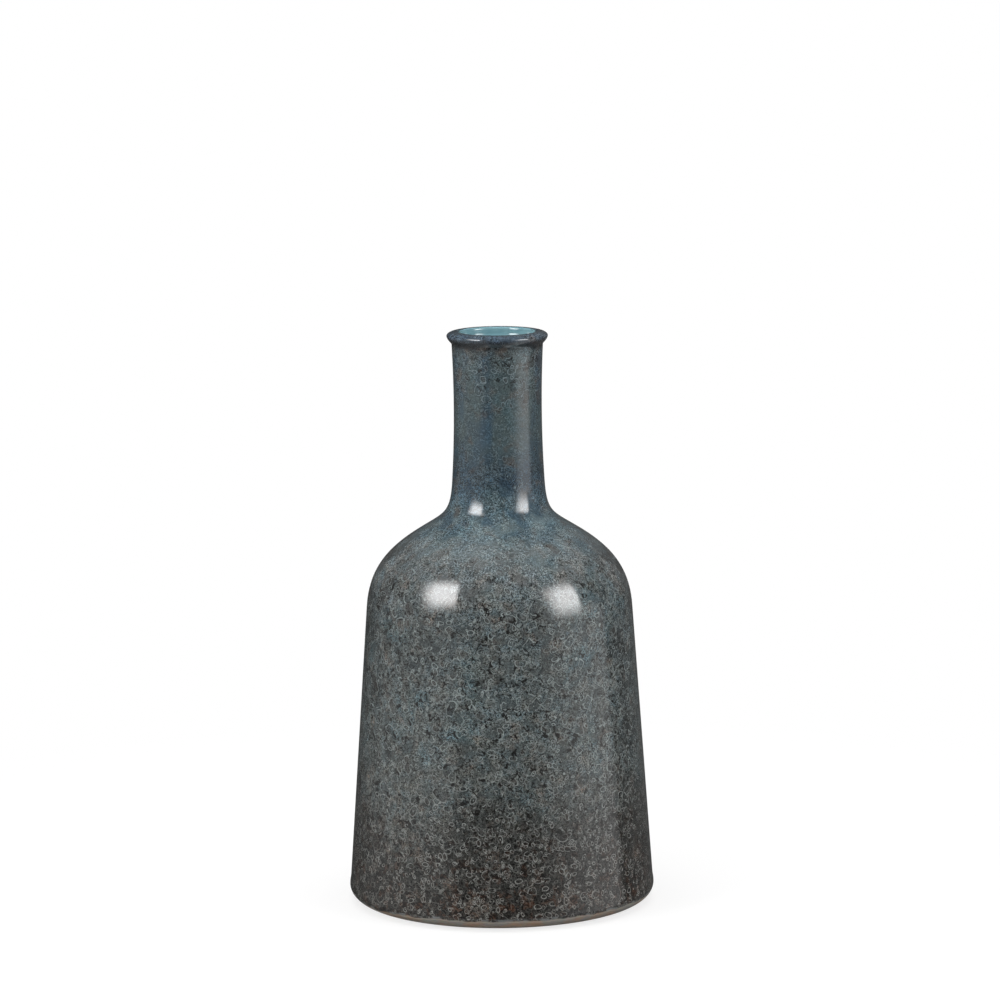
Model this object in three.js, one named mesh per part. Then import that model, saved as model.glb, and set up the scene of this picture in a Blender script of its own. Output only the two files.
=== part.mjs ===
// A bottle vase of fired clay, built up as a potter does it: a footed slab, a tapering belly, a domed
// shoulder, a tall neck and a flared lip are thrown apart and luted with slip in grooved seams. A glaze
// covers the outside down to a wiped line at the heel, and another lines the inside up to the mouth.
// Millimetres, +Z up. The vase stands on z = 0 and is round about the Z axis.

import * as THREE from 'three';

// Foot slab
const HEEL_RADIUS = 93.3; // the widest line of the vase, on the slab's rounded edge
const HEEL_HEIGHT = 9.6; // from the table up to that line
const HEEL_ROUND = 12.3; // how far the edge tucks in from that line to the foot
const SLAB_RISE = 2.7; // from that line up to the slab's top
const FLARE_RISE = 5.6; // from that line up to where the edge has eased into the belly's taper
const FLARE_PROUD = 0.65; // how far the edge stands out past the taper's lower end
const FLARE_EASE = 0.5; // reach of the flare's tangents, as a share of its rise
const FOOT_RING_WIDTH = 15; // the flat ring that the vase stands on
const FOOT_RECESS = 2.5; // depth of the hollow inside that ring
const WIPED_DROP = 1.8; // the outer glaze ends this far below the widest line

// Belly, shoulder and neck: the finished outside
const BELLY_RISE = 169.3; // straight taper, from the slab's top to where the shoulder springs
const SPRING_RADIUS = 81;
const SHOULDER_RISE = 45.7; // from the spring to where the dome turns hollow
const SLOPE_RADIUS = 51.2; // at that turn
const SLOPE_ANGLE = 57.4; // lean from upright at that turn, degrees
const SHOULDER_FULLNESS = 0.4; // reach of the dome's tangents, as a share of its chord
const ROOT_RISE = 31.4; // from that turn to the neck's root
const ROOT_FULLNESS = 0.54; // reach of the hollow's tangents, as a share of its chord
const NECK_RISE = 83.8; // from the root to the crease under the lip
const NECK_WAIST_RADIUS = 26.7;
const ROOT_FLARE = 1.4; // the root is this much wider than the waist
const TOP_FLARE = 1; // and the top of the neck this much

// Lip
const LIP_DROP = 4.65; // from the lip's outer edge down to the crease
const LIP_OVERHANG = 3; // the outer edge stands out this far past the neck
const LIP_RISE = 2.85; // from the outer edge up to the crest
const LIP_TURN = 2 / 3; // share of the drop that the underside slants before it turns upright
const MOUTH_ROUND = 1.8; // radius from the crest into the mouth

// Walls, coats and seams
const BELLY_CLAY = 6;
const NECK_CLAY = 3.2;
const OUTER_COAT = 0.5;
const INNER_COAT = 0.5;
const BOND_GAP = 0.3; // left between a coat and the clay it covers
const SLIP_THICKNESS = 1;
const GROOVE_DEPTH = 1.2; // the rim of each lower member is grooved, the foot of the next one ridged

// Finishes
const WIPED_CLAY = { color: 0x78695f, roughness: 0.6 };
const FIRED_CLAY = { color: 0xa8694a, roughness: 0.9 };
const FIRED_SLIP = { color: 0xb98463, roughness: 0.95 };
const MOTTLED_GLAZE = { color: 0x4d5a5c, roughness: 0.18 };
const TEAL_GLAZE = { color: 0x6a949c, roughness: 0.12 };

// Facets
const SEGMENTS = 40; // around the axis
const STEPS = { heel: 5, flare: 3, shoulder: 5, root: 4, neck: 3, lipUnder: 2, lipTop: 3, mouth: 2 };
const CUT_MARGIN = 0.2; // a point of an outline that lies this close to a cut gives way to it

// Heights and radii that follow from these
const wipedLine = HEEL_HEIGHT - WIPED_DROP;
const slabTop = HEEL_HEIGHT + SLAB_RISE;
const flareTop = HEEL_HEIGHT + FLARE_RISE;
const springHeight = slabTop + BELLY_RISE;
const slopeHeight = springHeight + SHOULDER_RISE;
const rootHeight = slopeHeight + ROOT_RISE;
const neckTop = rootHeight + NECK_RISE;
const lipEdgeHeight = neckTop + LIP_DROP;
const crestHeight = lipEdgeHeight + LIP_RISE;
const glazeMeeting = crestHeight - MOUTH_ROUND;

const contactRadius = HEEL_RADIUS - HEEL_ROUND;
const bellyFootRadius = HEEL_RADIUS - FLARE_PROUD;
const rootRadius = NECK_WAIST_RADIUS + ROOT_FLARE;
const neckTopRadius = NECK_WAIST_RADIUS + TOP_FLARE;
const lipRadius = neckTopRadius + LIP_OVERHANG;
const outerSkin = OUTER_COAT + BOND_GAP;
const lipBoreRadius = neckTopRadius - outerSkin - NECK_CLAY;
const mouthRadius = lipBoreRadius - outerSkin;
const crestRadius = mouthRadius + MOUTH_ROUND;

const at = (radius, height) => new THREE.Vector2(radius, height);

// The finished outline from the foot to the mouth, as plane curves of radius and height
function outlineCurves() {
  const heelEdge = at(HEEL_RADIUS, HEEL_HEIGHT);
  const bellyFoot = at(bellyFootRadius, flareTop);
  const spring = at(SPRING_RADIUS, springHeight);
  const slope = at(SLOPE_RADIUS, slopeHeight);
  const root = at(rootRadius, rootHeight);
  const neckEnd = at(neckTopRadius, neckTop);
  const lipEdge = at(lipRadius, lipEdgeHeight);

  // The neck's middle control point brings its halfway point to the waist
  const controlRadius = 2 * NECK_WAIST_RADIUS - (rootRadius + neckTopRadius) / 2;
  const waistControl = at(controlRadius, (rootHeight + neckTop) / 2);
  const upright = at(0, 1);
  const bellyLean = spring.clone().sub(bellyFoot).normalize();
  const neckLean = waistControl.clone().sub(root).normalize();
  const lean = THREE.MathUtils.degToRad(SLOPE_ANGLE);
  const slopeLean = at(-Math.sin(lean), Math.cos(lean));
  const flareReach = FLARE_EASE * FLARE_RISE;
  const domeReach = SHOULDER_FULLNESS * spring.distanceTo(slope);
  const hollowReach = ROOT_FULLNESS * slope.distanceTo(root);
  const along = (from, direction, reach) => from.clone().addScaledVector(direction, reach);

  // The lip's underside leaves the neck at a slant and turns upright at its outer edge
  const underControl = at(lipRadius, THREE.MathUtils.lerp(neckTop, lipEdgeHeight, LIP_TURN));
  const quarter = Math.PI / 2;
  return {
    heel: new THREE.EllipseCurve(contactRadius, HEEL_HEIGHT, HEEL_ROUND, HEEL_HEIGHT, -quarter, 0),
    flare: new THREE.CubicBezierCurve(
      heelEdge, along(heelEdge, upright, flareReach), along(bellyFoot, bellyLean, -flareReach), bellyFoot),
    belly: new THREE.LineCurve(bellyFoot, spring),
    shoulder: new THREE.CubicBezierCurve(
      spring, along(spring, bellyLean, domeReach), along(slope, slopeLean, -domeReach), slope),
    root: new THREE.CubicBezierCurve(
      slope, along(slope, slopeLean, hollowReach), along(root, neckLean, -hollowReach), root),
    neck: new THREE.QuadraticBezierCurve(root, waistControl, neckEnd),
    lipUnder: new THREE.QuadraticBezierCurve(neckEnd, underControl, lipEdge),
    lipTop: new THREE.EllipseCurve(
      crestRadius, lipEdgeHeight, lipRadius - crestRadius, LIP_RISE, 0, quarter),
    mouth: new THREE.EllipseCurve(
      crestRadius, glazeMeeting, MOUTH_ROUND, MOUTH_ROUND, quarter, 2 * quarter),
  };
}

// Points along the named curves, each with the vector that carries it one unit out of the clay.
// Where two curves meet in a corner that vector is mitred, so that an inset stays parallel to both.
function trace(curves, names) {
  const outward = (tangent) => at(tangent.y, -tangent.x);
  const stations = [];
  for (const name of names) {
    const curve = curves[name];
    const steps = STEPS[name] ?? 1;
    for (let step = 0; step <= steps; step += 1) {
      const out = outward(curve.getTangent(step / steps));
      const last = stations.at(-1);
      if (step === 0 && last) {
        const mitre = 1 + last.out.dot(out);
        last.out.add(out).divideScalar(mitre);
      } else {
        stations.push({ point: curve.getPoint(step / steps), out });
      }
    }
  }
  return stations;
}

// The traced outline moved into the clay, by one depth or by a depth that depends on the height
function inset(stations, depth) {
  const depthAt = typeof depth === 'function' ? depth : () => depth;
  return stations.map(({ point, out }) => point.clone().addScaledVector(out, -depthAt(point.y)));
}

// The point where a line of points crosses a height, with its end stretches carried on
function crossing(line, height) {
  const next = line.findIndex((point, i) => i > 0 && point.y >= height);
  const end = next < 0 ? line.length - 1 : next;
  const [low, high] = [line[end - 1], line[end]];
  const share = (height - low.y) / (high.y - low.y);
  return at(THREE.MathUtils.lerp(low.x, high.x, share), height);
}

// The stretch of a rising line above a height, and the stretch between two heights
function above(line, height) {
  const next = line.findIndex((point) => point.y > height + CUT_MARGIN);
  return [crossing(line, height), ...line.slice(next)];
}

function between(line, low, high) {
  const inside = line.filter((point) => point.y > low + CUT_MARGIN && point.y < high - CUT_MARGIN);
  return [crossing(line, low), ...inside, crossing(line, high)];
}

// Turns a profile about +Z. It runs up the outside, and closes on itself unless it ends on the axis.
function turned(profile) {
  const onAxis = profile[0].x === 0;
  const loop = onAxis ? profile : [...profile, profile[0]];
  return new THREE.LatheGeometry(loop, SEGMENTS).rotateX(Math.PI / 2);
}

const curves = outlineCurves();
const whole = trace(curves, Object.keys(curves));
const sides = trace(curves, ['belly', 'shoulder', 'root', 'neck']);

// The clay thins from the belly to the neck over the shoulder
function clayThickness(height) {
  const share = THREE.MathUtils.smoothstep(height, springHeight, rootHeight);
  return THREE.MathUtils.lerp(BELLY_CLAY, NECK_CLAY, share);
}

const clayDepth = (height) => outerSkin + clayThickness(height);
const finishedFace = inset(whole, 0);
const coatBack = inset(whole, OUTER_COAT);
const clayFace = inset(whole, outerSkin);
const clayBore = inset(sides, clayDepth);
const liningBack = inset(sides, (height) => clayDepth(height) + BOND_GAP);
const liningFace = inset(sides, (height) => clayDepth(height) + BOND_GAP + INNER_COAT);

// The line of a seam across the wall, from the outside in, dipping into the groove
function seamLine(height) {
  const outer = crossing(clayFace, height);
  const inner = height > neckTop ? at(lipBoreRadius, height) : crossing(clayBore, height);
  return [outer, at((outer.x + inner.x) / 2, height - GROOVE_DEPTH), inner];
}

const seams = { foot: slabTop, shoulder: springHeight, neck: rootHeight, lip: neckTop };

function baseSlab() {
  const ringInnerRadius = contactRadius - FOOT_RING_WIDTH;
  const [rimOuter, groove, rimInner] = seamLine(seams.foot);
  return turned([
    at(0, FOOT_RECESS),
    at(ringInnerRadius - FOOT_RECESS, FOOT_RECESS),
    at(ringInnerRadius, 0),
    ...between(finishedFace, 0, wipedLine),
    ...between(clayFace, wipedLine, seams.foot).slice(0, -1),
    rimOuter, groove, rimInner,
    at(0, slabTop),
  ]);
}

// A ring of wall between the slip of one seam and the rim under the next
function wallMember(lowSeam, highSeam) {
  const foot = lowSeam + SLIP_THICKNESS;
  const [, ridge] = seamLine(foot);
  const [, groove] = seamLine(highSeam);
  const outside = between(clayFace, foot, highSeam);
  const inside = between(clayBore, foot, highSeam).reverse();
  return turned([...outside, groove, ...inside, ridge]);
}

function lipRoll() {
  const foot = seams.lip + SLIP_THICKNESS;
  const [, ridge, bore] = seamLine(foot);
  const outside = above(clayFace, foot).slice(0, -1);
  return turned([...outside, at(lipBoreRadius, glazeMeeting), bore, ridge]);
}

function slipRing(seam) {
  return turned([...seamLine(seam).reverse(), ...seamLine(seam + SLIP_THICKNESS)]);
}

function outerGlaze() {
  const face = above(finishedFace, wipedLine).slice(0, -1);
  const back = above(coatBack, wipedLine).slice(0, -1).reverse();
  const end = [at(mouthRadius, glazeMeeting), at(mouthRadius + OUTER_COAT, glazeMeeting)];
  return turned([...face, ...end, ...back]);
}

function innerGlaze() {
  const backRadius = lipBoreRadius - BOND_GAP;
  return turned([
    at(0, slabTop),
    ...between(liningBack, slabTop, neckTop),
    at(backRadius, glazeMeeting),
    at(backRadius - INNER_COAT, glazeMeeting),
    ...between(liningFace, slabTop + INNER_COAT, neckTop).reverse(),
    at(0, slabTop + INNER_COAT),
  ]);
}

const vase = new THREE.Group();

function addPart(name, geometry, finish) {
  const material = new THREE.MeshStandardMaterial({ ...finish, metalness: 0 });
  const mesh = new THREE.Mesh(geometry, material);
  mesh.name = name;
  vase.add(mesh);
}

addPart('base_slab', baseSlab(), WIPED_CLAY);
addPart('belly_wall', wallMember(seams.foot, seams.shoulder), FIRED_CLAY);
addPart('shoulder_dome', wallMember(seams.shoulder, seams.neck), FIRED_CLAY);
addPart('neck_tube', wallMember(seams.neck, seams.lip), FIRED_CLAY);
addPart('lip_roll', lipRoll(), FIRED_CLAY);
for (const [name, height] of Object.entries(seams)) {
  addPart(`${name}_seam_slip`, slipRing(height), FIRED_SLIP);
}
addPart('outer_glaze', outerGlaze(), MOTTLED_GLAZE);
addPart('inner_glaze', innerGlaze(), TEAL_GLAZE);

export default vase;
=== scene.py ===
import math

import bpy
from mathutils import Euler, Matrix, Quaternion, Vector


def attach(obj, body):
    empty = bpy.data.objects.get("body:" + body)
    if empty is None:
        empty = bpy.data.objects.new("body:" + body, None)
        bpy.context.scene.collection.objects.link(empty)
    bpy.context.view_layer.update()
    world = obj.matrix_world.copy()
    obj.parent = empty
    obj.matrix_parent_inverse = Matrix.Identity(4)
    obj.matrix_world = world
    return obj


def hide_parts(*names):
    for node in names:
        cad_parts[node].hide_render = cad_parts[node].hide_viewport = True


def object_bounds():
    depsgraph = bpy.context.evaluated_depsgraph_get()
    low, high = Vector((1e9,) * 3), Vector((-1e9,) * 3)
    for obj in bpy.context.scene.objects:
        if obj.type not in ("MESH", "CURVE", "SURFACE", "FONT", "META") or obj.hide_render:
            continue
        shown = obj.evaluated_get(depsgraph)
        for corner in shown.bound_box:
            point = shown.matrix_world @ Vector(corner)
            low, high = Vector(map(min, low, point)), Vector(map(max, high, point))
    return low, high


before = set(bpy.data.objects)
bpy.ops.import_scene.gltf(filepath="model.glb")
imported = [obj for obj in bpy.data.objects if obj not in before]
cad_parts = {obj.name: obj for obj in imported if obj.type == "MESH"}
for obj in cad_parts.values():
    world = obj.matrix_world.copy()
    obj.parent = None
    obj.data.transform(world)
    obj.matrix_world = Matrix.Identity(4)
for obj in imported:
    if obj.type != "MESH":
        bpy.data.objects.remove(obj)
cad_low, cad_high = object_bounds()

MM = 0.001
QUARTER = math.pi / 2
WHITE = (1, 1, 1, 1)

# The vase's outside: lengths in millimetres, and shares that say how full its curves are. Its widest radius
# and its height come from the frame
HEEL_RADIUS = cad_high.x / MM
CREST_HEIGHT = cad_high.z / MM
HEEL_HEIGHT = 9.6
HEEL_ROUND = 12.3
SLAB_RISE = 2.7
FLARE_RISE = 5.6
FLARE_PROUD = 0.65
FLARE_EASE = 0.5
FOOT_RING_WIDTH = 15
FOOT_RECESS = 2.5
WIPED_HEIGHT = 7.8
SPRING_RADIUS = 81
SPRING_HEIGHT = 181.6
SLOPE_RADIUS = 51.2
SLOPE_HEIGHT = 227.3
SLOPE_LEAN = math.radians(57.4)
SHOULDER_FULLNESS = 0.4
ROOT_RADIUS = 28.1
ROOT_HEIGHT = 258.7
ROOT_FULLNESS = 0.54
WAIST_RADIUS = 26.7
NECK_TOP_RADIUS = 27.7
NECK_TOP_HEIGHT = 342.5
LIP_RADIUS = 30.7
LIP_EDGE_HEIGHT = 347.15
LIP_TURN = 2 / 3
CREST_RADIUS = 24.7
MOUTH_ROUND = 1.8

# Walls and coats, in millimetres
BELLY_CLAY = 6
NECK_CLAY = 3.2
OUTER_COAT = 0.5
OUTER_BACK_GAP = 0.3
SHELF_EASE = 0.2  # the slab's side under the glaze stops at least this far below the slab's top
LINING_COAT = 0.5
LINING_BACK_GAP = 0.3
LINING_WALL = 0.3  # thinner than its coat, so that it stays clear of the clay
FLOOR_EASE = 1  # the lining's wall starts at least this far above its floor
TEAL_EDGE = math.radians(40)  # the lining comes up to this far inside the crest, round the mouth's edge

# The lining gathers in a soft roll just inside the mouth
THROAT_ROLL = 0.9
THROAT_START = 333
THROAT_HEIGHT = 343.2
THROAT_TOP = 346.2
THROAT_START_REACH = 4
THROAT_REACH = 3
THROAT_TOP_REACH = 1.2

# Rings have this many sides, flat floors grow from these small discs, and points this close are joined
SIDES = 144
SLAB_DISC_RADIUS = 10
LINING_DISC_RADIUS = 12
MERGE_DISTANCE = 0.001

# Depths, heights and radii that follow
OUTER_SKIN = OUTER_COAT + OUTER_BACK_GAP
LINING_SKIN = LINING_COAT + LINING_BACK_GAP
SLAB_TOP = HEEL_HEIGHT + SLAB_RISE
CONTACT_RADIUS = HEEL_RADIUS - HEEL_ROUND
BELLY_FOOT_RADIUS = HEEL_RADIUS - FLARE_PROUD
MOUTH_RADIUS = CREST_RADIUS - MOUTH_ROUND
MOUTH_HEIGHT = CREST_HEIGHT - MOUTH_ROUND


# Plane curves of radius and height
def ellipse(centre, reach, start, end, steps):
    turns = [start + (end - start) * step / steps for step in range(steps + 1)]
    return [centre + Vector((reach[0] * math.cos(turn), reach[1] * math.sin(turn))) for turn in turns]


def bezier(controls, steps):
    points = []
    for step in range(steps + 1):
        share = step / steps
        level = [Vector(control) for control in controls]
        while len(level) > 1:
            level = [a.lerp(b, share) for a, b in zip(level, level[1:])]
        points.append(level[0])
    return points


def eased(start, leaving, arriving, end, steps):
    """A curve that sets off from its start in one direction and comes to its end in another."""
    return bezier([start, start + leaving, end - arriving, end], steps)


def chained(*stretches):
    """Stretches of an outline one after another, without the points that they share."""
    points = list(stretches[0])
    for stretch in stretches[1:]:
        points += stretch[1:]
    return points


def inset(points, depth_at):
    """The points moved in, square to their line, by a depth that depends on the height."""
    moved = []
    for i, point in enumerate(points):
        along = points[min(i + 1, len(points) - 1)] - points[max(i - 1, 0)]
        inward = Vector((-along.y, along.x)).normalized()
        moved.append(point + inward * depth_at(point.y))
    return moved


def bore_depth(height):
    """From the finished outside to the lining's face; the clay thins over the shoulder."""
    share = min(max((height - SPRING_HEIGHT) / (ROOT_HEIGHT - SPRING_HEIGHT), 0), 1)
    share = share * share * (3 - 2 * share)
    clay = BELLY_CLAY + (NECK_CLAY - BELLY_CLAY) * share
    return OUTER_SKIN + clay + LINING_SKIN


# The outline from the foot to the mouth: its corners, the leans between them, and its stretches
upright = Vector((0, 1))
heel_middle = Vector((CONTACT_RADIUS, HEEL_HEIGHT))
heel_edge = Vector((HEEL_RADIUS, HEEL_HEIGHT))
belly_foot = Vector((BELLY_FOOT_RADIUS, HEEL_HEIGHT + FLARE_RISE))
spring = Vector((SPRING_RADIUS, SPRING_HEIGHT))
slope = Vector((SLOPE_RADIUS, SLOPE_HEIGHT))
root = Vector((ROOT_RADIUS, ROOT_HEIGHT))
waist_pull = 2 * WAIST_RADIUS - (ROOT_RADIUS + NECK_TOP_RADIUS) / 2
waist = Vector((waist_pull, (ROOT_HEIGHT + NECK_TOP_HEIGHT) / 2))
neck_end = Vector((NECK_TOP_RADIUS, NECK_TOP_HEIGHT))
lip_turn = Vector((LIP_RADIUS, NECK_TOP_HEIGHT + LIP_TURN * (LIP_EDGE_HEIGHT - NECK_TOP_HEIGHT)))
lip_edge = Vector((LIP_RADIUS, LIP_EDGE_HEIGHT))
lip_middle = Vector((CREST_RADIUS, LIP_EDGE_HEIGHT))
mouth_middle = Vector((CREST_RADIUS, MOUTH_HEIGHT))

belly_lean = (spring - belly_foot).normalized()
slope_lean = Vector((-math.sin(SLOPE_LEAN), math.cos(SLOPE_LEAN)))
neck_lean = (waist - root).normalized()
flare_reach = FLARE_EASE * FLARE_RISE
dome_reach = SHOULDER_FULLNESS * (slope - spring).length
hollow_reach = ROOT_FULLNESS * (root - slope).length
heel_reach = (HEEL_ROUND, HEEL_HEIGHT)
lip_reach = (LIP_RADIUS - CREST_RADIUS, CREST_HEIGHT - LIP_EDGE_HEIGHT)
mouth_reach = (MOUTH_ROUND, MOUTH_ROUND)
wiped_turn = math.asin((WIPED_HEIGHT - HEEL_HEIGHT) / HEEL_HEIGHT)
teal_turn = QUARTER + TEAL_EDGE

heel_low = ellipse(heel_middle, heel_reach, -QUARTER, wiped_turn, steps=14)
heel_high = ellipse(heel_middle, heel_reach, wiped_turn, 0, steps=4)
flare = eased(heel_edge, upright * flare_reach, belly_lean * flare_reach, belly_foot, steps=8)
belly = bezier([belly_foot, spring], steps=40)
shoulder = eased(spring, belly_lean * dome_reach, slope_lean * dome_reach, slope, steps=22)
hollow = eased(slope, slope_lean * hollow_reach, neck_lean * hollow_reach, root, steps=18)
neck = bezier([root, waist, neck_end], steps=24)
lip_under = bezier([neck_end, lip_turn, lip_edge], steps=8)
lip_top = ellipse(lip_middle, lip_reach, 0, QUARTER, steps=12)
mouth_dark = ellipse(mouth_middle, mouth_reach, QUARTER, teal_turn, steps=4)
mouth_teal = ellipse(mouth_middle, mouth_reach, math.pi, teal_turn, steps=5)


# Modelling
def start_clean():
    if bpy.context.mode != "OBJECT":
        bpy.ops.object.mode_set(mode="OBJECT")
    bpy.ops.object.select_all(action="DESELECT")


def thrown(name, outline, closed_start=False, closed_end=False):
    """A wall drawn up ring by ring from a circle, along an outline of radius and height."""
    start_clean()
    first = outline[0] * MM
    bpy.ops.mesh.primitive_circle_add(
        vertices=SIDES, radius=first.x, location=(0, 0, first.y),
        fill_type="TRIFAN" if closed_start else "NOTHING")
    piece = bpy.context.object
    piece.name = name
    bpy.ops.object.mode_set(mode="EDIT")
    bpy.ops.mesh.select_mode(type="EDGE")
    bpy.ops.mesh.select_all(action="SELECT")
    if closed_start:
        bpy.ops.mesh.region_to_loop()
    last = first
    for point in outline[1:]:
        ring = point * MM
        bpy.ops.mesh.extrude_edges_move(TRANSFORM_OT_translate={"value": (0, 0, ring.y - last.y)})
        grow = ring.x / last.x
        bpy.ops.transform.resize(value=(grow, grow, 1), center_override=(0, 0, ring.y))
        last = ring
    if closed_end:
        bpy.ops.mesh.extrude_edges_move(TRANSFORM_OT_translate={"value": (0, 0, 0)})
        bpy.ops.mesh.merge(type="CENTER")
    bpy.ops.mesh.select_all(action="SELECT")
    bpy.ops.mesh.remove_doubles(threshold=MERGE_DISTANCE * MM)
    bpy.ops.mesh.normals_make_consistent(inside=False)
    bpy.ops.object.mode_set(mode="OBJECT")
    bpy.ops.object.transform_apply(location=True, rotation=True, scale=True)
    bpy.ops.object.shade_smooth()
    return piece


def thicken(piece, thickness, offset):
    wall = piece.modifiers.new("coat", "SOLIDIFY")
    wall.thickness = thickness * MM
    wall.offset = offset
    wall.use_even_offset = True
    bpy.context.view_layer.objects.active = piece
    bpy.ops.object.modifier_apply(modifier=wall.name)


def settle(piece, finish, node):
    piece.data.materials.clear()
    piece.data.materials.append(finish)
    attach(piece, "root")
    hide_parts(node)


# Finishes
def shade(red, green, blue):
    """A colour as it looks on a screen, 0 to 255, as the linear light that a shader takes."""
    def linear(value):
        share = value / 255
        return share / 12.92 if share <= 0.04045 else ((share + 0.055) / 1.055) ** 2.4
    return (linear(red), linear(green), linear(blue), 1.0)


def grey(level):
    return (level, level, level, 1.0)


class Recipe:
    """The nodes of one finish or light, put together in order."""

    def __init__(self, owner):
        self.owner = owner
        self.owner.use_nodes = True
        self.tree = self.owner.node_tree
        self.tree.nodes.clear()

    def node(self, kind, inputs, **settings):
        made = self.tree.nodes.new(kind)
        for key, value in settings.items():
            setattr(made, key, value)
        for key, value in inputs.items():
            if isinstance(value, bpy.types.NodeSocket):
                self.tree.links.new(value, made.inputs[key])
            else:
                made.inputs[key].default_value = value
        return made

    # Places
    def place(self):
        return self.node("ShaderNodeTexCoord", {}).outputs["Object"]

    def facing(self):
        return self.node("ShaderNodeTexCoord", {}).outputs["Normal"]

    def parts(self, where):
        return self.node("ShaderNodeSeparateXYZ", {0: where}).outputs

    def vector(self, operation, first, second=(0, 0, 0)):
        return self.node("ShaderNodeVectorMath", {0: first, 1: second}, operation=operation).outputs[0]

    def measure(self, operation, first, second=(0, 0, 0)):
        """A vector operation that gives one number."""
        made = self.node("ShaderNodeVectorMath", {0: first, 1: second}, operation=operation)
        return made.outputs["Value"]

    def moved(self, where, shift):
        return self.vector("ADD", where, (shift, shift, shift))

    def ripple(self, where, size, amount):
        """Places pushed about within an amount, over patches of a size, both in millimetres."""
        push = self.vector("SUBTRACT", self.cloud(where, size, detail=1)["Color"], (0.5, 0.5, 0.5))
        reach = amount * MM
        return self.vector("ADD", where, self.vector("MULTIPLY", push, (reach, reach, reach)))

    # Numbers
    def maths(self, operation, first, second=0.0):
        return self.node("ShaderNodeMath", {0: first, 1: second}, operation=operation).outputs[0]

    def product(self, first, *others):
        for other in others:
            first = self.maths("MULTIPLY", first, other)
        return first

    def largest(self, first, second):
        return self.maths("MAXIMUM", first, second)

    def absolute(self, value):
        return self.maths("ABSOLUTE", value)

    def rise(self, value, across, ends=(0.0, 1.0)):
        """A soft change from the first end to the second, while the value goes across two limits."""
        inputs = {"Value": value, "From Min": across[0], "From Max": across[1],
                  "To Min": ends[0], "To Max": ends[1]}
        return self.node("ShaderNodeMapRange", inputs, interpolation_type="SMOOTHSTEP").outputs[0]

    def cloud(self, where, size, detail):
        inputs = {"Vector": where, "Scale": 1 / (size * MM), "Detail": detail}
        return self.node("ShaderNodeTexNoise", inputs).outputs

    def noise(self, where, size, detail=2):
        return self.cloud(where, size, detail)["Fac"]

    def swing(self, where, size, detail=1):
        """A noise that goes to both sides of zero."""
        return self.maths("SUBTRACT", self.noise(where, size, detail), 0.5)

    def cells(self, where, size):
        return self.node("ShaderNodeTexVoronoi", {"Vector": where, "Scale": 1 / (size * MM)}).outputs

    def chances(self, cell):
        """Three random numbers from 0 to 1 for each cell."""
        return self.node("ShaderNodeSeparateColor", {0: cell["Color"]}).outputs

    # Colours and light
    def mix(self, share, first, second, blend_type="MIX"):
        """Two colours mixed, which are the node's inputs 6 and 7 and its output 2."""
        inputs = {0: share, 6: first, 7: second}
        return self.node("ShaderNodeMix", inputs, data_type="RGBA", blend_type=blend_type).outputs[2]

    def glow(self, strength):
        return self.node("ShaderNodeEmission", {"Color": WHITE, "Strength": strength}).outputs[0]

    def clear(self):
        return self.node("ShaderNodeBsdfTransparent", {}).outputs[0]

    def blended(self, share, first, second):
        return self.node("ShaderNodeMixShader", {0: share, 1: first, 2: second}).outputs[0]

    def added(self, first, second):
        return self.node("ShaderNodeAddShader", {0: first, 1: second}).outputs[0]

    def surface(self, shader):
        self.node("ShaderNodeOutputMaterial", {"Surface": shader})
        return self.owner

    def finish(self, inputs):
        return self.surface(self.node("ShaderNodeBsdfPrincipled", inputs).outputs[0])


# The glaze's grounds at heights in millimetres: brown-black, grey-teal, slate blue, and the lip's, with
# painted shade in the crease under the lip at 341.3 to 345.3
GROUND_SHADES = [
    (4, shade(18, 14, 11)), (26, shade(14, 12, 10)), (55, shade(22, 22, 20)),
    (90, shade(66, 71, 71)), (140, shade(70, 76, 77)), (185, shade(66, 72, 74)),
    (208, shade(93, 96, 97)), (222, shade(101, 108, 110)), (236, shade(92, 107, 112)),
    (250, shade(72, 90, 100)), (260, shade(31, 47, 61)), (270, shade(50, 66, 79)),
    (288, shade(74, 90, 97)), (330, shade(76, 88, 92)), (340, shade(72, 81, 84)),
    # Painted shade: near-black in the crease under the lip
    (341.3, shade(24, 22, 23)), (345.3, shade(29, 29, 33)), (346.8, shade(66, 76, 88)),
    (350, shade(72, 86, 98))]
PALE_SHADES = [
    (0, shade(146, 145, 140)), (60, shade(152, 155, 152)), (120, shade(158, 168, 167)),
    (200, shade(160, 170, 169)), (235, shade(150, 168, 174)), (290, shade(112, 130, 138)),
    (325, shade(132, 148, 154)), (350, shade(126, 140, 144))]
TEAL_PATCH = shade(72, 94, 100)
BLUE_PATCH = shade(52, 70, 84)
BROWN_PATCH = shade(84, 76, 70)
RUST_PATCH = shade(66, 37, 17)
BLUE_STREAK = shade(54, 74, 90)
GREY_STREAK = shade(78, 90, 90)
BROWN_FLAKE = shade(66, 56, 50)
PIT_SHADE = shade(18, 17, 16)
CRACK_SHADE = shade(20, 18, 16)
SMEAR_SHADE = shade(116, 120, 120)
WARM_TINT = (1.13, 0.98, 0.87, 1)
COOL_TINT = (0.88, 1.02, 1.09, 1)

# The wiped clay's colours, and a paler one near the floor that is painted light against the shade under the
# foot
TAN_CLAY = shade(138, 115, 97)
GREY_CLAY = shade(122, 121, 116)
PAINTED_LIGHT_CLAY = shade(148, 138, 128)
PALE_CLAY = shade(160, 152, 140)

# Flakes in the glaze: how each is stretched, how deep it shows, as a share of its cell, and what shares
# of them have a pale dot in the middle or are brown
FLAKE_STRETCH = (1.3, 0.8, 1.0)
FLAKE_DEPTH = 0.32
DOTTED_SHARE = 0.35
BROWN_SHARE = 0.25

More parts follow.
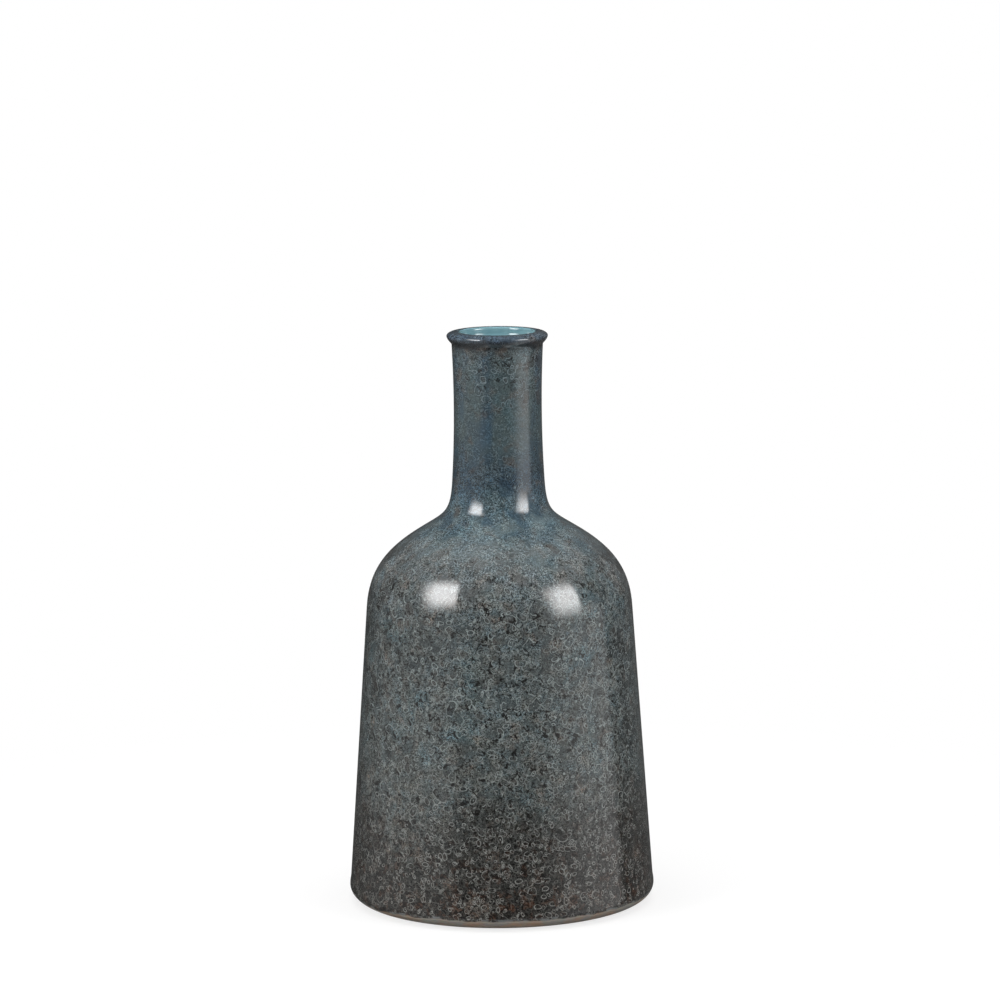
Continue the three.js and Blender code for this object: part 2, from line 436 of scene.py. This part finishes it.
# Half widths of their pale outlines, dots and dark rims: where they are full, and where they have faded out
OUTLINE_WIDTH = (0.08 * MM, 0.34 * MM)
FLAKE_DOT_WIDTH = (0.2 * MM, 0.5 * MM)
RIM_WIDTH = (0.105 * MM, 0.35 * MM)
RIM_AWAY = 0.6 * MM
THREAD_CORE = 0.3  # the share of a thread's width that is full

# How strongly each thing in the glaze covers what is under it
BROWN_PATCH_COVER = 0.6
BROWN_FLAKE_COVER = 0.35
PIT_COVER = 0.5
RIM_COVER = 0.3
DOT_COVER = 0.8
CRACK_COVER = 0.9

# The wiped band: its line's height on its low side and elsewhere, how the line sways over patches of two
# sizes in millimetres, the glaze's edge there, and the smears above and the pale line below it
WIPED_LINE = (4.6 * MM, 6.2 * MM)
WIPED_LOW_SIDE = (-75 * MM, -35 * MM)
WIPED_SWAYS = [(10, 3.0), (2.5, 1.2)]
GLAZE_EDGE = (0.4 * MM, -0.3 * MM)
SMEAR_ABOVE = 0.5 * MM
SMEAR_WIDTH = (0.2 * MM, 1.2 * MM)
PALE_LINE_BELOW = 0.7 * MM
PALE_LINE_WIDTH = (0.1 * MM, 0.6 * MM)
# Heights over which the clay pales towards the floor: painted light
PAINTED_LIGHT_HEIGHTS = (4 * MM, 0.5 * MM)
CLAY_SPECKLE = 0.3

# Where most values of a noise and of a chance lie, and how strongly the glazes bend light
NOISE_SPAN = (0.35, 0.65)
CHANCE_SPAN = (0.25, 0.75)
GLAZE_IOR = 1.6


class Mottling(Recipe):
    """The mottled glaze's colours, and those of the wiped clay below its ragged line."""

    def __init__(self, name):
        super().__init__(bpy.data.materials.new(name))
        self.here = self.place()
        spot = self.parts(self.here)
        self.across = spot[0]
        self.height = spot[2]
        flowing = self.ripple(self.here, size=4.5, amount=3.5)
        self.bent = self.ripple(flowing, size=1.5, amount=0.9)
        self.rounder = self.ripple(self.here, size=3, amount=0.9)
        self.crumb_chances = self.chances(self.cells(self.here, size=0.5))
        self.worn = self.rise(self.noise(self.here, size=2.4, detail=1), (0.36, 0.56), (0.6, 1.0))
        self.dark_share = self.share(
            (0, 1.0), (195, 1.0), (222, 0.4), (240, 0.15), (300, 0.15), (318, 0.7), (336, 0.9), (340, 0.0))
        self.grain_share = self.share(
            (0, 1.0), (185, 0.95), (208, 0.74), (222, 0.52), (240, 0.62), (262, 0.76), (285, 0.27),
            (308, 0.3), (336, 0.6), (342, 0.45), (348, 0.7))

    def by_height(self, height, stops):
        """Colours at heights in millimetres, with even changes between them."""
        ramp = self.node("ShaderNodeValToRGB", {0: self.maths("DIVIDE", height, CREST_HEIGHT * MM)})
        elements = ramp.color_ramp.elements
        for i, (level, colour) in enumerate(stops):
            element = elements[i] if i < 2 else elements.new(1.0)
            element.position = level / CREST_HEIGHT
            element.color = colour
        return ramp.outputs["Color"]

    def share(self, *stops):
        """A share of something at heights in millimetres."""
        return self.by_height(self.height, [(level, grey(part)) for level, part in stops])

    def patched(self, ground, colour, noise, edge, strength):
        """The ground with patches of a colour where a noise is past an edge."""
        return self.mix(self.product(self.rise(noise, edge), strength), ground, colour)

    def ground(self):
        """The colours under the pattern, in uneven bands, with lighter and darker sides and patches; the
        darker left side and the crease under the lip are painted shade.
        """
        lean = self.rise(self.across, (-60 * MM, 30 * MM), (14 * MM, -14 * MM))
        sway = self.product(self.swing(self.here, size=34, detail=2), 90 * MM)
        sway_share = self.share((12, 0.5), (36, 1.0), (70, 0.7), (110, 0.2), (150, 0.0))
        sway = self.product(self.maths("ADD", sway, lean), sway_share)
        ground = self.by_height(self.maths("ADD", self.height, sway), GROUND_SHADES)

        below_lip = self.share((338, 1.0), (341, 0.0))
        for size, tones in [(40, (0.84, 1.14)), (7, (0.92, 1.08))]:
            tone = self.rise(self.noise(self.here, size), NOISE_SPAN, tones)
            ground = self.mix(below_lip, ground, tone, "MULTIPLY")
        # Painted shade: the left side darker at some heights, slightly lighter at 192 mm
        left = self.rise(self.across, (-25 * MM, -60 * MM))
        left_painted_shade = self.share(
            (20, 0.9), (60, 1.0), (90, 0.88), (122, 0.92), (138, 0.7), (165, 0.55), (180, 0.8),
            (192, 1.04), (215, 1.0))
        ground = self.mix(left, ground, left_painted_shade, "MULTIPLY")
        side = self.rise(self.absolute(self.across), (45 * MM, 70 * MM))
        blotch = self.rise(self.noise(self.here, size=15), (0.42, 0.58), (0.4, 1.3))
        ground = self.mix(side, ground, blotch, "MULTIPLY")

        neck_share = self.share((244, 0.0), (264, 0.15), (285, 0.6), (336, 0.6), (341, 0.0))
        drawn_out = self.vector("MULTIPLY", self.here, (1, 1, 0.35))
        streaks = self.rise(self.noise(drawn_out, size=15), (0.38, 0.6))
        ground = self.mix(neck_share, ground, self.mix(streaks, BLUE_STREAK, GREY_STREAK))

        teal_share = self.share((60, 0.0), (110, 0.5))
        teal = self.noise(self.here, size=24)
        ground = self.patched(ground, TEAL_PATCH, teal, (0.5, 0.7), teal_share)
        blue_share = self.share((215, 0.0), (238, 0.7), (275, 0.6), (300, 0.0))
        blue = self.noise(self.here, size=12)
        ground = self.patched(ground, BLUE_PATCH, blue, (0.46, 0.64), blue_share)
        brown = self.noise(self.bent, size=11, detail=3)
        return self.patched(ground, BROWN_PATCH, brown, (0.54, 0.7), BROWN_PATCH_COVER)

    def flakes(self, where, axes, size, reaches, share, squareness):
        """Flakes of one size lying in the surface, each turned its own way.

        Gives how pale their outlines make a place, how dark the rims beside those are, whether the place
        lies inside a flake, and whether that one is brown."""
        cell = self.cells(where, size)
        chance = self.chances(cell)
        from_middle = self.vector("SUBTRACT", where, cell["Position"])
        across, upward, depth = [self.measure("DOT_PRODUCT", from_middle, axis) for axis in axes]
        flat = self.node("ShaderNodeCombineXYZ", {0: across, 1: upward}).outputs[0]
        turn = {"Vector": flat, "Angle": self.product(chance[2], math.pi)}
        flat = self.node("ShaderNodeVectorRotate", turn, rotation_type="Z_AXIS").outputs[0]
        flat = self.vector("ABSOLUTE", self.vector("MULTIPLY", flat, FLAKE_STRETCH))
        sides = self.parts(flat)
        round_reach = self.product(self.measure("LENGTH", flat), 1 - squareness)
        square_reach = self.product(self.largest(sides[0], sides[1]), squareness)
        reach = self.maths("ADD", round_reach, square_reach)
        edge_at = self.rise(chance[0], (0.0, 1.0), (reaches[0] * MM, reaches[1] * MM))
        past_edge = self.maths("SUBTRACT", reach, edge_at)
        from_edge = self.absolute(past_edge)
        shallow = self.maths("LESS_THAN", self.absolute(depth), FLAKE_DEPTH * size * MM)
        there = self.product(self.maths("LESS_THAN", chance[1], share), shallow)

        outline = self.rise(from_edge, OUTLINE_WIDTH, (1.0, 0.0))
        outline = self.product(outline, self.rise(chance[1], (0.0, 0.4), (0.4, 0.85)))
        dotted = self.maths("LESS_THAN", chance[2], DOTTED_SHARE)
        dot = self.product(self.rise(reach, FLAKE_DOT_WIDTH, (1.0, 0.0)), dotted)
        pale = self.product(self.largest(outline, dot), there)
        from_rim = self.absolute(self.maths("SUBTRACT", from_edge, RIM_AWAY))
        rim = self.product(self.rise(from_rim, RIM_WIDTH, (1.0, 0.0)), there)
        inside = self.product(self.maths("LESS_THAN", past_edge, 0.0), there)
        brown = self.product(inside, self.maths("GREATER_THAN", chance[2], 1 - BROWN_SHARE))
        return pale, rim, inside, brown

    def flake_pattern(self):
        """All the flakes: a few large and square, some of middling size, and many small rings.

        Gives their outlines, their rims, the brown ones, and how bare of flakes each place is."""
        flake_share = self.share(
            (0, 1.2), (60, 1.15), (90, 1.0), (190, 1.0), (215, 0.6), (240, 0.1), (300, 0.15),
            (318, 0.8), (336, 1.0), (340, 0.0))
        large_share = self.share((0, 0.3), (45, 0.45), (80, 1.0))
        foot_share = self.share((0, 1.0), (45, 0.9), (90, 0.3), (180, 0.0))
        facing = self.facing()
        sideways = self.vector("NORMALIZE", self.vector("CROSS_PRODUCT", (0, 0, 1), facing))
        axes = (sideways, self.vector("CROSS_PRODUCT", facing, sideways), facing)
        outlines = 0.0
        rims = 0.0
        brown = 0.0
        bare = 1.0
        # Cell size, least and most reach, share of the cells, squareness, shift, share by height, course
        for size, reaches, share, squareness, shift, height_share, course in [
                (12, (2.4, 4.2), 0.45, 0.6, 0.0, large_share, self.bent),
                (8, (1.3, 2.6), 0.55, 0.5, 0.3, large_share, self.bent),
                (5.5, (0.9, 1.9), 0.65, 0.0, 0.5, 1.0, self.rounder),
                (4.5, (0.9, 1.6), 0.6, 0.0, 0.9, foot_share, self.rounder),
                (3.6, (0.6, 1.1), 0.55, 0.1, 0.7, 1.0, self.bent)]:
            where = self.moved(course, shift)
            share_here = self.product(flake_share, share, height_share)
            pale, rim, inside, dull = self.flakes(where, axes, size, reaches, share_here, squareness)
            outlines = self.largest(outlines, self.product(pale, bare))
            rims = self.largest(rims, rim)
            brown = self.largest(brown, dull)
            bare = self.product(bare, self.rise(inside, (0.0, 1.0), (1.0, 0.35)))
        return outlines, rims, brown, bare

    def grain(self, bare):
        """How much the crumbs show: less in smooth patches and inside the flakes."""
        smooth_left = self.share((0, 0.85), (55, 0.8), (95, 0.4))
        smooth = self.rise(self.noise(self.here, size=9), (0.5, 0.6), (1.0, smooth_left))
        return self.product(self.grain_share, smooth, self.rise(bare, (0.0, 1.0), (0.5, 1.0)))

    def crumbled(self, ground, grain):
        """The ground broken up into crumbs of many tones, warm and cool, with rust near the foot."""
        coarse_chances = self.chances(self.cells(self.here, size=0.75))
        coarse = self.rise(coarse_chances[0], CHANCE_SPAN, (0.34, 1.7))
        fine = self.rise(self.crumb_chances[0], CHANCE_SPAN, (0.15, 2.0))
        ground = self.mix(grain, ground, self.product(coarse, fine), "MULTIPLY")
        hue = self.rise(self.noise(self.bent, size=8, detail=3), (0.36, 0.64))
        ground = self.mix(grain, ground, self.mix(hue, WARM_TINT, COOL_TINT), "MULTIPLY")
        rust_share = self.share((14, 0.8), (30, 0.55), (75, 0.0))
        rust = self.noise(self.bent, size=5)
        return self.patched(ground, RUST_PATCH, rust, (0.54, 0.62), rust_share)

    def pits(self, rims, bare):
        """How dark a place is from pits in clumps and from the rims of flakes."""
        pits = self.rise(self.noise(self.bent, size=1.8, detail=1), (0.43, 0.36))
        clumps = self.rise(self.noise(self.here, size=13), (0.5, 0.62))
        dark = self.product(pits, clumps, bare, self.dark_share, PIT_COVER)
        return self.largest(dark, self.product(rims, RIM_COVER))

    def threads(self, where, size, width):
        """Threads in loose loops, along which a soft noise passes its middle value."""
        return self.rise(self.absolute(self.swing(where, size)), (width, THREAD_CORE * width))

    def cracks(self):
        crack = self.threads(self.moved(self.bent, 0.9), size=4.5, width=0.07)
        there = self.rise(self.noise(self.here, size=5, detail=1), (0.55, 0.6))
        return self.product(crack, there, self.dark_share)

    def pale_marks(self, outlines, grain):
        """How pale a place is from the flakes' outlines, threads, specks and dots."""
        marks = self.product(outlines, self.worn)
        thread_share = self.product(grain, self.share((0, 0.55), (45, 0.7), (80, 1.0)))
        # Size of the loops, width as a share of the noise, strength, shift
        for size, width, strength, shift in [
                (4.2, 0.025, 0.45, 0.2), (2.4, 0.035, 0.38, 0.6), (1.4, 0.05, 0.26, 0.8)]:
            thread = self.threads(self.moved(self.bent, shift), size, width)
            marks = self.largest(marks, self.product(thread, strength, thread_share, self.worn))
        speck_share = self.share((0, 0.14), (55, 0.16), (95, 0.15), (190, 0.14), (225, 0.0))
        specks = self.rise(self.crumb_chances[1], (0.74, 0.84))
        marks = self.largest(marks, self.product(specks, speck_share, grain))
        dot = self.cells(self.bent, size=2.4)
        dot_share = self.share((0, 0.4), (60, 0.4), (95, 0.2))
        dot_there = self.maths("LESS_THAN", self.chances(dot)[0], dot_share)
        dots = self.product(self.rise(dot["Distance"], (0.2, 0.1)), dot_there, self.grain_share, DOT_COVER)
        return self.largest(marks, dots)

    def above_wiped_line(self):
        """How far a place is above the ragged line of the wiped band, which runs lower on one side."""
        line = self.rise(self.across, WIPED_LOW_SIDE, WIPED_LINE)
        for size, amount in WIPED_SWAYS:
            line = self.maths("ADD", line, self.product(self.swing(self.here, size), amount * MM))
        return self.maths("SUBTRACT", self.height, line)

    def wiped(self, colour):
        """The glaze above the ragged line, thin smears of it along the line, and wiped clay below."""
        above = self.above_wiped_line()
        from_smear = self.absolute(self.maths("SUBTRACT", above, SMEAR_ABOVE))
        smear = self.rise(from_smear, SMEAR_WIDTH, (1.0, 0.0))
        smear_there = self.rise(self.noise(self.here, size=7, detail=1), (0.48, 0.6), (0.0, 0.8))
        colour = self.mix(self.product(smear, smear_there), colour, SMEAR_SHADE)
        patches = self.rise(self.noise(self.here, size=14, detail=3), (0.4, 0.6))
        clay = self.mix(patches, TAN_CLAY, GREY_CLAY)
        speckle = self.cloud(self.here, size=1.6, detail=1)["Color"]
        clay = self.mix(CLAY_SPECKLE, clay, speckle, "SOFT_LIGHT")
        # Paler clay near the floor: painted light against the shade where the foot meets it
        clay = self.mix(self.rise(self.height, PAINTED_LIGHT_HEIGHTS, (0.0, 0.7)), clay, PAINTED_LIGHT_CLAY)
        from_pale_line = self.absolute(self.maths("ADD", above, PALE_LINE_BELOW))
        clay = self.mix(self.rise(from_pale_line, PALE_LINE_WIDTH, (0.5, 0.0)), clay, PALE_CLAY)
        return self.mix(self.rise(above, GLAZE_EDGE), colour, clay)

    def colour(self):
        outlines, rims, brown, bare = self.flake_pattern()
        grain = self.grain(bare)
        colour = self.mix(self.product(brown, BROWN_FLAKE_COVER), self.ground(), BROWN_FLAKE)
        colour = self.crumbled(colour, grain)
        colour = self.mix(self.pits(rims, bare), colour, PIT_SHADE)
        pale = self.by_height(self.height, PALE_SHADES)
        colour = self.mix(self.pale_marks(outlines, grain), colour, pale)
        colour = self.mix(self.product(self.cracks(), CRACK_COVER), colour, CRACK_SHADE)
        return self.wiped(colour)


def mottled_glaze():
    recipe = Mottling("mottled_glaze")
    waves = {"Height": recipe.noise(recipe.here, size=3), "Strength": 0.14, "Distance": 0.1 * MM}
    bump = recipe.node("ShaderNodeBump", waves).outputs[0]
    return recipe.finish({
        "Base Color": recipe.colour(), "Roughness": 0.16, "IOR": GLAZE_IOR, "Normal": bump,
        "Coat Weight": 1.0, "Coat Roughness": 0.035, "Coat IOR": GLAZE_IOR, "Coat Normal": bump})


def wiped_clay():
    recipe = Mottling("wiped_clay")
    return recipe.finish({"Base Color": recipe.colour(), "Roughness": 0.4})


def two_toned(recipe, size, detail, dull, bright):
    tone = recipe.rise(recipe.noise(recipe.place(), size, detail), NOISE_SPAN)
    return recipe.mix(tone, dull, bright)


def teal_lining():
    recipe = Recipe(bpy.data.materials.new("teal_lining"))
    colour = two_toned(recipe, size=9, detail=3, dull=shade(121, 163, 173), bright=shade(136, 175, 183))
    return recipe.finish({
        "Base Color": colour, "Roughness": 0.1, "IOR": GLAZE_IOR,
        "Coat Weight": 1.0, "Coat Roughness": 0.04, "Coat IOR": GLAZE_IOR})


def bare_clay(name, dull, bright):
    recipe = Recipe(bpy.data.materials.new(name))
    colour = two_toned(recipe, size=6, detail=4, dull=dull, bright=bright)
    return recipe.finish({"Base Color": colour, "Roughness": 0.9})


# Pieces
def mottled_glaze_coat():
    """The outer glaze, from the wiped band at the heel to just over the lip's crest."""
    face = chained(heel_high, flare, belly, shoulder, hollow, neck, lip_under, lip_top, mouth_dark)
    coat = thrown("mottled_glaze_coat", face)
    thicken(coat, OUTER_COAT, offset=-1)
    settle(coat, mottled_glaze(), "outer_glaze")


def teal_lining_coat():
    """The lining, from the floor up the bore, over the soft roll and round the mouth's edge."""
    floor_height = SLAB_TOP + LINING_COAT
    bore = inset(chained(belly, shoulder, hollow, neck), bore_depth)
    floor = [Vector((LINING_DISC_RADIUS, floor_height)), Vector((bore[0].x, floor_height))]
    wall = [point for point in bore if floor_height + FLOOR_EASE < point.y < THROAT_START]
    throat = Vector((MOUTH_RADIUS - THROAT_ROLL, THROAT_HEIGHT))
    throat_top = Vector((MOUTH_RADIUS, THROAT_TOP))
    roll_low = eased(wall[-1], upright * THROAT_START_REACH, upright * THROAT_REACH, throat, steps=8)
    roll_high = eased(throat, upright * THROAT_TOP_REACH, upright * THROAT_TOP_REACH, throat_top, steps=10)
    face = chained(floor + wall, roll_low, roll_high) + mouth_teal
    lining = thrown("teal_lining_coat", face, closed_start=True)
    thicken(lining, LINING_WALL, offset=1)
    settle(lining, teal_lining(), "inner_glaze")


def footed_slab():
    """The slab with its foot ring, the recess under it, the wiped heel, and a shelf under the glaze."""
    ring_inner = CONTACT_RADIUS - FOOT_RING_WIDTH
    recess = [Vector((SLAB_DISC_RADIUS, FOOT_RECESS)), Vector((ring_inner - FOOT_RECESS, FOOT_RECESS))]
    shelf = inset(chained(heel_high, flare), lambda height: OUTER_SKIN)
    shelf = [point for point in shelf if point.y < SLAB_TOP - SHELF_EASE]
    top = [Vector((shelf[-1].x, SLAB_TOP)), Vector((SLAB_DISC_RADIUS, SLAB_TOP))]
    face = recess + [Vector((ring_inner, 0))] + heel_low + shelf[1:] + top
    slab = thrown("footed_slab", face, closed_start=True, closed_end=True)
    settle(slab, wiped_clay(), "base_slab")


def clay_and_slip():
    """Bare finishes for the walls and slip rings that stay inside the coats."""
    clay = bare_clay("fired_clay", shade(150, 92, 64), shade(176, 114, 84))
    slip = bare_clay("fired_slip", shade(170, 118, 86), shade(196, 144, 112))
    for name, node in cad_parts.items():
        if not node.hide_render:
            node.data.materials.clear()
            node.data.materials.append(slip if name.endswith("slip") else clay)


# Studio, in metres and degrees; an azimuth is counted from the camera's side to the right
CAMERA_PLACE = (0.00086, -2.7888, 0.6696)
CAMERA_DIP = 8.627
CAMERA_ROLL = -0.5
SENSOR_WIDTH = 36  # millimetres
FOCAL_SHARE = 4.64

# Softboxes, with the stretches where their light fades, as shares of their size
LIT_POINT = Vector((0, 0, 0.2))
BOX_SIZE = 0.95
BOX_DISTANCE = 1.2
BOX_TALL = 1.15
BOX_LEFT_FADE = (-0.48, -0.05)
BOX_RIGHT_FADE = (0.36, 0.26)
BOX_UPRIGHT_FADE = (0.46, 0.1)

# The light above
OVERHEAD_HEIGHT = 2.0
OVERHEAD_SIZE = 1.6
OVERHEAD_RADIANCE = 3.0

# What the gloss shows: a tent with a reflector on each side and a dim back, and a card beside the neck.
# A reflector has the azimuths where it begins and where it ends, and its glow
TENT_RADIUS = 1.8
TENT_REFLECTORS = [((18, 76), (104, 96), 0.42), ((-20, -50), (-142, -90), 0.18)]
TENT_REFLECTOR_TOP = (0.7, 0.3)
TENT_BACK = [((95, 125), (0.02, 0.06)), ((-95, -125), (0.0, 0.02))]
CARD_RADIUS = 0.5
CARD_HEIGHT = 0.241
CARD_TALL = 0.04
CARD_LIT_PART = ((38, 60), (96, 78))
CARD_DIM_PART = ((80, 94), (112, 106))
CARD_GLOW = 0.34
CARD_DIM_GLOW = 0.08

# The world's light and the floor, which is white to the camera and fades out towards its edge
AMBIENT = 0.42
FLOOR_RADIUS = 0.6
FLOOR_DROP = 0.0002
FLOOR_FADE = (0.35, 0.98)
FLOOR_GLOW = 0.76
FLOOR_BOUNCE = 0.8


def aim_camera():
    data = bpy.data.cameras.new("camera")
    data.sensor_width = SENSOR_WIDTH
    data.lens = FOCAL_SHARE * SENSOR_WIDTH
    camera = bpy.data.objects.new("camera", data)
    bpy.context.scene.collection.objects.link(camera)
    camera.location = CAMERA_PLACE
    dipped = Euler((QUARTER - math.radians(CAMERA_DIP), 0, 0)).to_quaternion()
    camera.rotation_mode = "QUATERNION"
    camera.rotation_quaternion = dipped @ Quaternion((0, 0, 1), math.radians(CAMERA_ROLL))
    bpy.context.scene.camera = camera


def towards(azimuth, elevation):
    turn = math.radians(azimuth)
    lift = math.radians(elevation)
    return Vector((math.sin(turn) * math.cos(lift), -math.cos(turn) * math.cos(lift), math.sin(lift)))


def hide_from(piece, *rays):
    for ray in rays:
        setattr(piece, "visible_" + ray, False)


def softbox(name, azimuth, elevation, roll, radiance):
    """A lit panel that is brightest at its middle; its light falls off softly, and sharply on the right."""
    start_clean()
    direction = towards(azimuth, elevation)
    bpy.ops.mesh.primitive_plane_add(size=BOX_SIZE, location=LIT_POINT + direction * BOX_DISTANCE)
    panel = bpy.context.object
    panel.name = name
    panel.scale.y = BOX_TALL
    panel.rotation_mode = "QUATERNION"
    rolled = Quaternion((0, 0, 1), math.radians(roll))
    panel.rotation_quaternion = direction.to_track_quat("Z", "Y") @ rolled
    recipe = Recipe(bpy.data.materials.new(name))
    spot = recipe.parts(recipe.place())
    across = recipe.maths("DIVIDE", spot[0], BOX_SIZE)
    from_middle = recipe.absolute(recipe.maths("DIVIDE", spot[1], BOX_SIZE))
    share = recipe.product(
        recipe.rise(across, BOX_LEFT_FADE), recipe.rise(across, BOX_RIGHT_FADE),
        recipe.rise(from_middle, BOX_UPRIGHT_FADE))
    faded = recipe.blended(share, recipe.clear(), recipe.glow(radiance))
    panel.data.materials.append(recipe.surface(faded))
    hide_from(panel, "camera")


def overhead_light():
    start_clean()
    bpy.ops.object.light_add(type="AREA", location=(0, 0, OVERHEAD_HEIGHT))
    lamp = bpy.context.object
    lamp.name = "overhead_light"
    lamp.data.shape = "SQUARE"
    lamp.data.size = OVERHEAD_SIZE
    lamp.data.energy = OVERHEAD_RADIANCE * math.pi * OVERHEAD_SIZE ** 2
    hide_from(lamp, "camera", "glossy")


def azimuth_of(recipe, spot):
    ahead = recipe.maths("MULTIPLY", spot[1], -1.0)
    return recipe.maths("DEGREES", recipe.maths("ARCTAN2", spot[0], ahead))


def stretch_of(recipe, azimuth, beginning, ending):
    """1 along a stretch of azimuths, with a soft beginning and ending."""
    return recipe.product(recipe.rise(azimuth, beginning), recipe.rise(azimuth, ending))


def dark_tent():
    """Dim walls all round that only the vase's gloss shows, with a paler reflector on each side."""
    start_clean()
    bpy.ops.mesh.primitive_uv_sphere_add(segments=48, ring_count=24, radius=TENT_RADIUS, location=(0, 0, 0))
    tent = bpy.context.object
    tent.name = "dark_tent"
    recipe = Recipe(bpy.data.materials.new("dark_tent"))
    spot = recipe.parts(recipe.place())
    azimuth = azimuth_of(recipe, spot)
    low_part = recipe.rise(spot[2], TENT_REFLECTOR_TOP)
    strength = 0.0
    for beginning, ending, glow in TENT_REFLECTORS:
        reflector = recipe.product(stretch_of(recipe, azimuth, beginning, ending), glow, low_part)
        strength = recipe.maths("ADD", strength, reflector)
    for turn, glows in TENT_BACK:
        strength = recipe.maths("ADD", strength, recipe.rise(azimuth, turn, glows))
    tent.data.materials.append(recipe.surface(recipe.glow(strength)))
    hide_from(tent, "camera", "diffuse", "shadow", "transmission")


def neck_card():
    """A narrow curved card that only gloss shows: a pale streak in the neck, and a dim part beside it."""
    start_clean()
    bpy.ops.mesh.primitive_cylinder_add(
        vertices=96, radius=CARD_RADIUS, depth=CARD_TALL, end_fill_type="NOTHING",
        location=(0, 0, CARD_HEIGHT))
    card = bpy.context.object
    card.name = "neck_card"
    recipe = Recipe(bpy.data.materials.new("neck_card"))
    azimuth = azimuth_of(recipe, recipe.parts(recipe.place()))
    lit = recipe.product(stretch_of(recipe, azimuth, *CARD_LIT_PART), CARD_GLOW)
    see_through = recipe.added(recipe.clear(), recipe.glow(lit))
    dim = stretch_of(recipe, azimuth, *CARD_DIM_PART)
    card.data.materials.append(recipe.surface(recipe.blended(dim, see_through, recipe.glow(CARD_DIM_GLOW))))
    hide_from(card, "camera", "diffuse", "shadow")


def background_rays(recipe):
    """1 for the rays that show the background: the camera's, mirrored ones and those through glass."""
    path = recipe.node("ShaderNodeLightPath", {}).outputs
    indirect = recipe.largest(path["Is Glossy Ray"], path["Is Transmission Ray"])
    return recipe.largest(path["Is Camera Ray"], indirect)


def studio_world():
    recipe = Recipe(bpy.data.worlds.new("studio"))
    strength = recipe.rise(background_rays(recipe), (0.0, 1.0), (AMBIENT, 1.0))
    sky = recipe.node("ShaderNodeBackground", {"Color": WHITE, "Strength": strength})
    recipe.node("ShaderNodeOutputWorld", {"Surface": sky.outputs[0]})
    bpy.context.scene.world = recipe.owner


def pale_floor():
    start_clean()
    bpy.ops.mesh.primitive_circle_add(
        vertices=96, radius=FLOOR_RADIUS, fill_type="NGON", location=(0, 0, -FLOOR_DROP))
    floor = bpy.context.object
    floor.name = "pale_floor"
    bpy.ops.object.transform_apply(location=True)
    recipe = Recipe(bpy.data.materials.new("pale_floor"))
    outward = recipe.maths("DIVIDE", recipe.measure("LENGTH", recipe.place()), FLOOR_RADIUS)
    camera_ray = recipe.node("ShaderNodeLightPath", {}).outputs["Is Camera Ray"]
    bounce = recipe.mix(camera_ray, grey(FLOOR_BOUNCE), grey(1 - FLOOR_GLOW))
    matte = recipe.node("ShaderNodeBsdfDiffuse", {"Color": bounce}).outputs[0]
    glow = recipe.glow(recipe.product(background_rays(recipe), FLOOR_GLOW))
    fade = recipe.rise(outward, FLOOR_FADE)
    faded = recipe.blended(fade, recipe.added(matte, glow), recipe.clear())
    floor.data.materials.append(recipe.surface(faded))
    hide_from(floor, "glossy")


# The vase
mottled_glaze_coat()
teal_lining_coat()
footed_slab()
clay_and_slip()

# The studio round it
bpy.context.scene.view_settings.view_transform = "Standard"
aim_camera()
softbox("left_softbox", azimuth=-57.5, elevation=30, roll=20, radiance=6.3)
softbox("right_softbox", azimuth=60, elevation=22.3, roll=0, radiance=5.0)
overhead_light()
dark_tent()
neck_card()
studio_world()
pale_floor()
